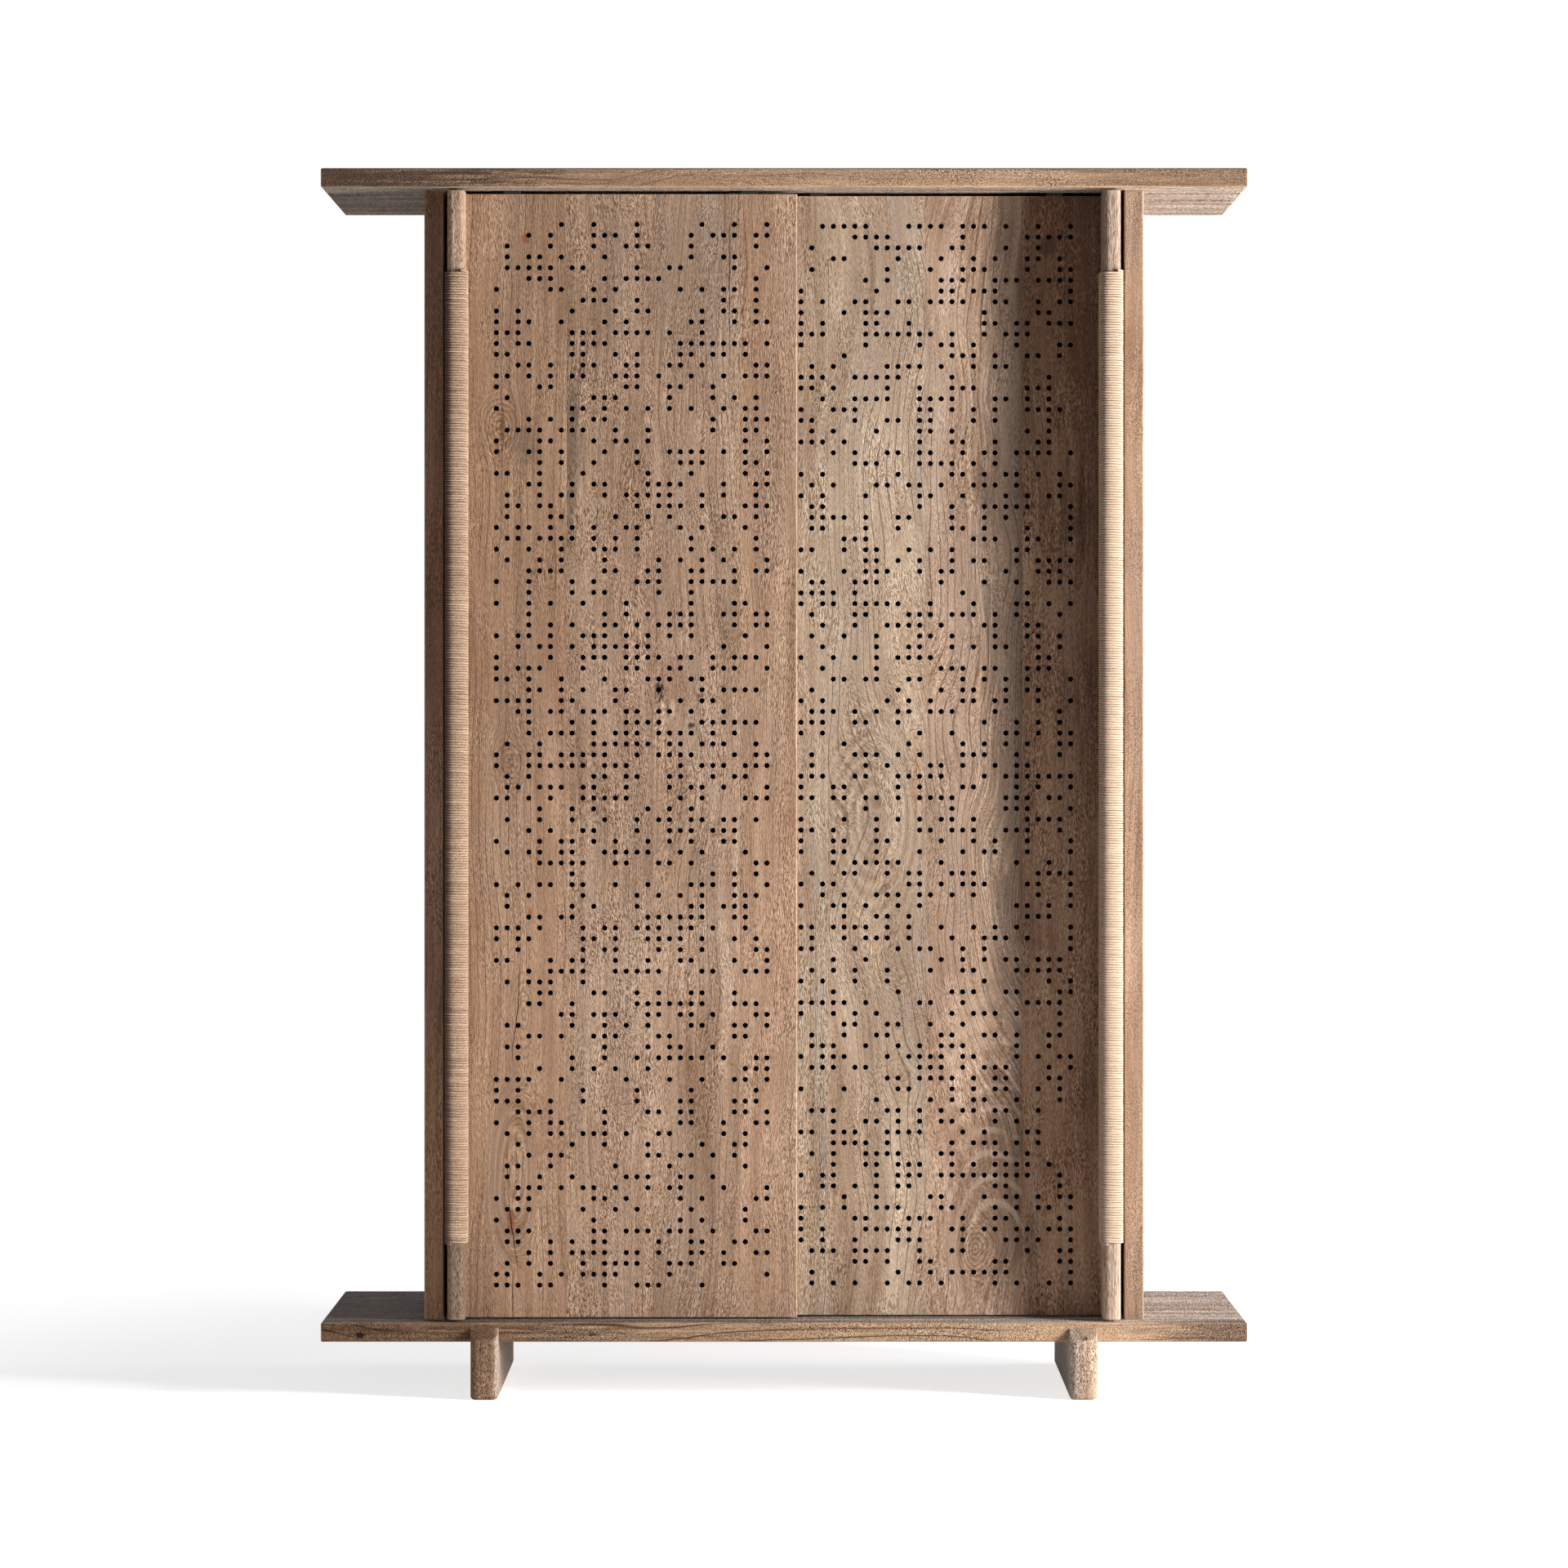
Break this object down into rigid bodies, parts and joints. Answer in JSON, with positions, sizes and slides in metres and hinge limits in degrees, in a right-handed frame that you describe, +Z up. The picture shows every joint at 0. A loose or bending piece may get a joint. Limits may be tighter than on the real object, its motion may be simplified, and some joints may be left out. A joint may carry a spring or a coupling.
{
  "type": "cupboard",
  "caption": "Tall wooden cupboard with overhanging top and bottom boards, two pierced sliding doors, cord-wound batten handles and plank feet.",
  "frame": {"origin": "middle of the floor under the whole outline", "axes": "+Z up, -Y out of the doors, +X to the viewer's right"},
  "size_m": [1.43, 0.466, 1.9],
  "materials": {
    "board_wood": "brushed, dull wax",
    "side_wood": "brushed, dull wax",
    "leaf_wood": "brushed, dull wax",
    "handle_wood": "brushed, dull wax",
    "foot_wood": "brushed, dull wax",
    "inner_wood": "sanded, dull wax",
    "back_panel_wood": "plain sheet, unfinished",
    "jute_cord": "twisted natural fibre",
    "steel": "zinc plated",
    "track_metal": "dull anodised",
    "wheel_nylon": "satin",
    "dark_plastic": "matte"
  },
  "bodies": {
    "door_left": {"axles_left": "steel", "carriers_left": "dark_plastic", "door_left_stave_1": "leaf_wood", "door_left_stave_2": "leaf_wood", "door_left_stave_3": "leaf_wood", "door_left_stave_4": "leaf_wood", "handle_left": "handle_wood", "handle_screws_left": "steel", "top_guides_left": "dark_plastic", "winding_left": "jute_cord"},
    "door_right": {"axles_right": "steel", "carriers_right": "dark_plastic", "door_right_stave_1": "leaf_wood", "door_right_stave_2": "leaf_wood", "door_right_stave_3": "leaf_wood", "door_right_stave_4": "leaf_wood", "handle_right": "handle_wood", "handle_screws_right": "steel", "top_guides_right": "dark_plastic", "winding_right": "jute_cord"},
    "wheel_left_inner_body": {"wheel_left_inner": "wheel_nylon"},
    "wheel_left_outer_body": {"wheel_left_outer": "wheel_nylon"},
    "wheel_right_inner_body": {"wheel_right_inner": "wheel_nylon"},
    "wheel_right_outer_body": {"wheel_right_outer": "wheel_nylon"},
    "carcass": {"back_panel_left": "back_panel_wood", "back_panel_right": "back_panel_wood", "bottom_board": "board_wood", "centre_partition": "inner_wood", "foot_left": "foot_wood", "foot_right": "foot_wood", "shelf_left_1": "inner_wood", "shelf_left_2": "inner_wood", "shelf_left_3": "inner_wood", "shelf_left_4": "inner_wood", "shelf_right_1": "inner_wood", "shelf_right_2": "inner_wood", "shelf_right_3": "inner_wood", "shelf_right_4": "inner_wood", "side_left": "side_wood", "side_right": "side_wood", "top_board": "board_wood", "track_front": "track_metal", "track_rear": "track_metal"}
  },
  "joints": [
    {"name": "door_left_slide", "type": "slide", "parent": "carcass", "child": "door_left", "axis": [1, 0, 0], "range_m": [0, 0.23]},
    {"name": "door_right_slide", "type": "slide", "parent": "carcass", "child": "door_right", "axis": [-1, 0, 0], "range_m": [0, 0.23]},
    {"name": "wheel_left_inner_spin", "type": "hinge", "parent": "door_left", "child": "wheel_left_inner_body", "pos_m": [-0.0375, -0.1575, 0.1278], "axis": [0, 1, 0], "continuous": true},
    {"name": "wheel_left_outer_spin", "type": "hinge", "parent": "door_left", "child": "wheel_left_outer_body", "pos_m": [-0.4215, -0.1575, 0.1278], "axis": [0, 1, 0], "continuous": true},
    {"name": "wheel_right_inner_spin", "type": "hinge", "parent": "door_right", "child": "wheel_right_inner_body", "pos_m": [0.0375, -0.1265, 0.1278], "axis": [0, 1, 0], "continuous": true},
    {"name": "wheel_right_outer_spin", "type": "hinge", "parent": "door_right", "child": "wheel_right_outer_body", "pos_m": [0.4215, -0.1265, 0.1278], "axis": [0, 1, 0], "continuous": true}
  ],
  "couplings": [
    {"joint": "wheel_left_inner_spin", "follows": "door_left_slide", "rad_per_m": 66.667},
    {"joint": "wheel_left_outer_spin", "follows": "door_left_slide", "rad_per_m": 66.667},
    {"joint": "wheel_right_inner_spin", "follows": "door_right_slide", "rad_per_m": -66.667},
    {"joint": "wheel_right_outer_spin", "follows": "door_right_slide", "rad_per_m": -66.667}
  ]
}
